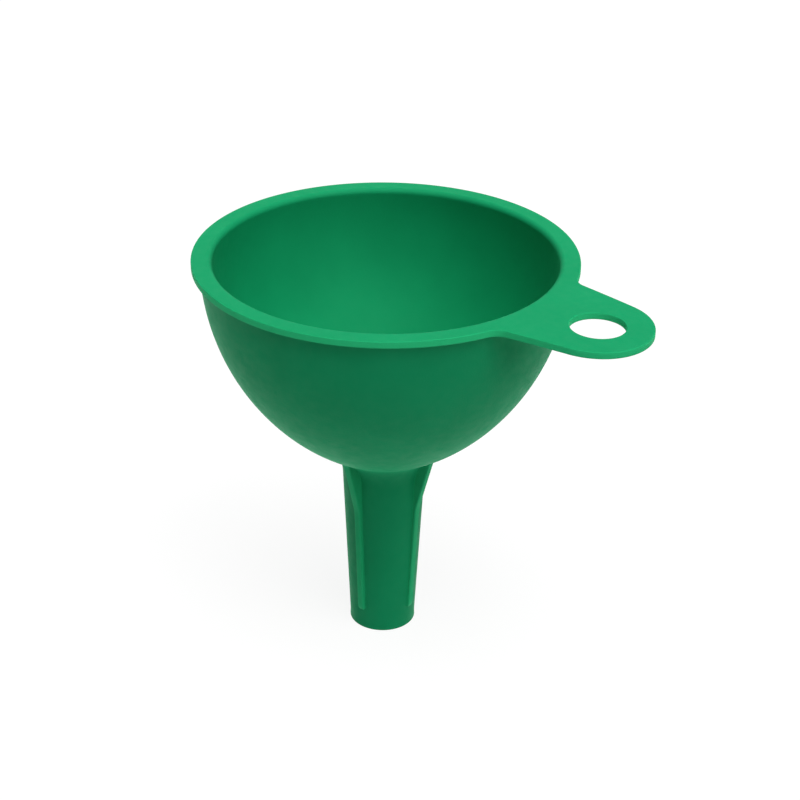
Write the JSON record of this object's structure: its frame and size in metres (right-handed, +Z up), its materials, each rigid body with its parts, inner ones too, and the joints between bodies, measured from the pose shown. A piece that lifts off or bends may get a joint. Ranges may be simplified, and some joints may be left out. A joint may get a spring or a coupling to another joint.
{
  "type": "kitchen funnel",
  "caption": "Flexible silicone funnel with a deep round bowl, a flat rim flange, a hanging tab with a round hole, and a tapered stem whose vent ribs flare out under the bowl.",
  "frame": {"origin": "on the funnel's axis, level with the start of the ribs' flares, where the mouth of a bottle stops the stem", "axes": "+Z up the funnel's axis towards the wide mouth, +X along the hanging tab"},
  "size_m": [0.1153, 0.09, 0.0995],
  "materials": {
    "silicone": "matte"
  },
  "bodies": {
    "root": {"rim_flange": "silicone", "hanging_tab": "silicone", "bowl": "silicone", "stem_tube": "silicone", "outlet_tip": "silicone", "vent_rib_1": "silicone", "vent_rib_2": "silicone", "vent_rib_3": "silicone", "vent_rib_4": "silicone"}
  },
  "joints": []
}
